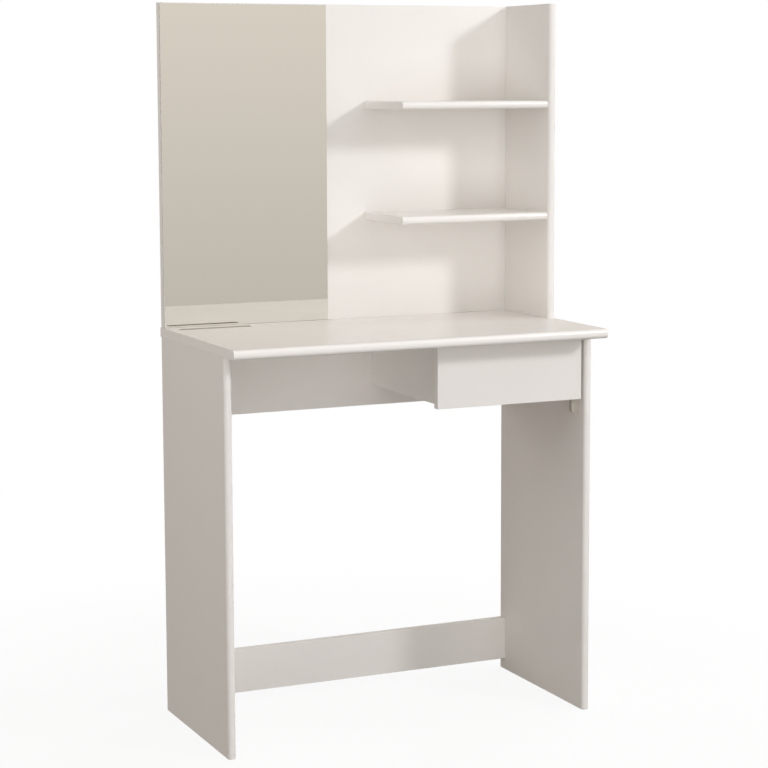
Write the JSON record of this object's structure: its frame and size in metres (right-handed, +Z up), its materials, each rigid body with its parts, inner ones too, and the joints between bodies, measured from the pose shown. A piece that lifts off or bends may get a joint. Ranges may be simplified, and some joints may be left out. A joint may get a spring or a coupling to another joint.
{
  "type": "vanity table",
  "caption": "Panel-built vanity table with a frameless mirror, a shelved upper section with one upright, a cable slot and a roller-runner drawer under the right of the top.",
  "frame": {"origin": "on the floor, under the middle of the table top's outline", "axes": "+Z up, +Y to the back (the wall side), +X to the right of a person who sits at the table"},
  "size_m": [0.754, 0.402, 1.37],
  "materials": {
    "melamine_board": "white melamine-faced chipboard with white edge banding, satin",
    "mirror_glass": "silvered float glass with ground and arrissed edges",
    "foam_tape": "double-sided white foam mounting tape",
    "thin_hardboard": "white painted 3 mm hardboard",
    "coated_runner_steel": "white epoxy-coated steel strip",
    "roller_nylon": "natural white nylon",
    "stop_plastic": "moulded pale grey plastic",
    "zinc_plated_steel": "bright zinc plate",
    "cam_zinc": "die-cast zinc, as cast",
    "beech": "plain beech"
  },
  "bodies": {
    "carcass": {"left_side_panel": "melamine_board", "right_side_panel": "melamine_board", "table_top": "melamine_board", "back_apron": "melamine_board", "lower_stretcher": "melamine_board", "drawer_partition": "melamine_board", "hutch_back_panel": "melamine_board", "hutch_side_panel": "melamine_board", "upper_shelf": "melamine_board", "lower_shelf": "melamine_board", "mirror_glass": "mirror_glass", "mirror_tape_strips": "foam_tape", "left_cabinet_runner": "coated_runner_steel", "right_cabinet_runner": "coated_runner_steel", "drawer_stop": "stop_plastic", "cabinet_roller_pins": "zinc_plated_steel", "runner_screws": "zinc_plated_steel", "drawer_stop_screw": "zinc_plated_steel", "cam_bolts": "zinc_plated_steel", "panel_screws": "zinc_plated_steel", "cam_locks": "cam_zinc", "wooden_dowels": "beech"},
    "drawer": {"drawer_front": "melamine_board", "drawer_left_side": "melamine_board", "drawer_right_side": "melamine_board", "drawer_back": "melamine_board", "drawer_bottom": "thin_hardboard", "left_drawer_runner": "coated_runner_steel", "right_drawer_runner": "coated_runner_steel", "drawer_roller_pins": "zinc_plated_steel", "drawer_runner_screws": "zinc_plated_steel", "drawer_cam_locks": "cam_zinc", "drawer_cam_bolts": "zinc_plated_steel", "drawer_back_screws": "zinc_plated_steel"},
    "left_front_roller": {"left_front_roller": "roller_nylon"},
    "right_front_roller": {"right_front_roller": "roller_nylon"},
    "left_rear_roller": {"left_rear_roller": "roller_nylon"},
    "right_rear_roller": {"right_rear_roller": "roller_nylon"}
  },
  "joints": [
    {"name": "drawer_slide", "type": "slide", "parent": "carcass", "child": "drawer", "axis": [0, -1, 0], "range_m": [0, 0.21]},
    {"name": "left_front_roller_spin", "type": "hinge", "parent": "carcass", "child": "left_front_roller", "pos_m": [0.0801, -0.0935, 0.628], "axis": [1, 0, 0], "continuous": true},
    {"name": "left_rear_roller_spin", "type": "hinge", "parent": "drawer", "child": "left_rear_roller", "pos_m": [0.0801, 0.1435, 0.628], "axis": [1, 0, 0], "continuous": true},
    {"name": "right_front_roller_spin", "type": "hinge", "parent": "carcass", "child": "right_front_roller", "pos_m": [0.3539, -0.0935, 0.628], "axis": [1, 0, 0], "continuous": true},
    {"name": "right_rear_roller_spin", "type": "hinge", "parent": "drawer", "child": "right_rear_roller", "pos_m": [0.3539, 0.1435, 0.628], "axis": [1, 0, 0], "continuous": true}
  ],
  "couplings": [
    {"joint": "left_front_roller_spin", "follows": "drawer_slide", "rad_per_m": 95.238},
    {"joint": "left_rear_roller_spin", "follows": "drawer_slide", "rad_per_m": 95.238},
    {"joint": "right_front_roller_spin", "follows": "drawer_slide", "rad_per_m": 95.238},
    {"joint": "right_rear_roller_spin", "follows": "drawer_slide", "rad_per_m": 95.238}
  ]
}
